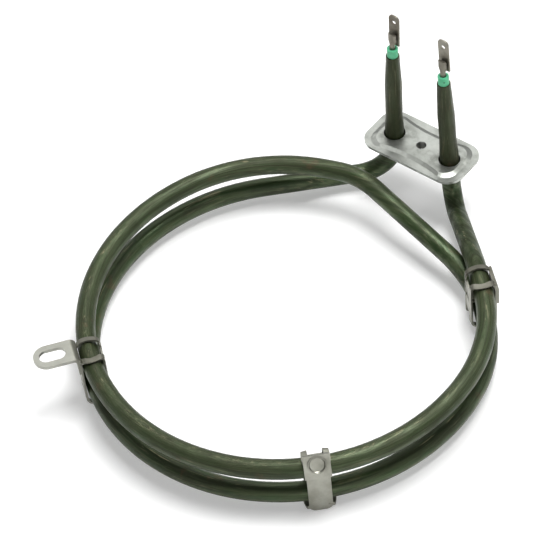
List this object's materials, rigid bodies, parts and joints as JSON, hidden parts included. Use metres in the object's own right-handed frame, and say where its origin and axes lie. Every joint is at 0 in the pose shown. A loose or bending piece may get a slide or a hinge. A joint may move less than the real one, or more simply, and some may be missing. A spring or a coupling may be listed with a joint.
{
  "type": "tubular heating element",
  "caption": "Sheathed heating tube bent into a ring of stacked turns, its legs rising through a small flange to blade terminals, with sheet clips holding the turns apart.",
  "frame": {"origin": "centre of the flange's screw hole, on the face of the raised panel that seats against the oven wall", "axes": "+Z along the legs towards the terminals, +X from the left leg to the right leg, the ring on the -Y side"},
  "size_m": [0.1814, 0.2077, 0.1003],
  "materials": {
    "sheath_steel": "satin",
    "magnesia": "matte",
    "resistance_wire": "satin",
    "pin_steel": "satin",
    "seal_green": "satin",
    "tab_steel": "satin",
    "flange_steel": "satin",
    "clip_steel": "satin"
  },
  "bodies": {
    "root": {"sheath_tube": "sheath_steel", "magnesia_filling": "magnesia", "heating_coil": "resistance_wire", "cold_pin_left": "pin_steel", "cold_pin_right": "pin_steel", "end_seal_left": "seal_green", "end_seal_right": "seal_green", "terminal_tab_left": "tab_steel", "terminal_tab_right": "tab_steel", "flange_plate": "flange_steel", "front_clip": "clip_steel", "right_clip": "clip_steel", "bracket_clip": "clip_steel"}
  },
  "joints": []
}
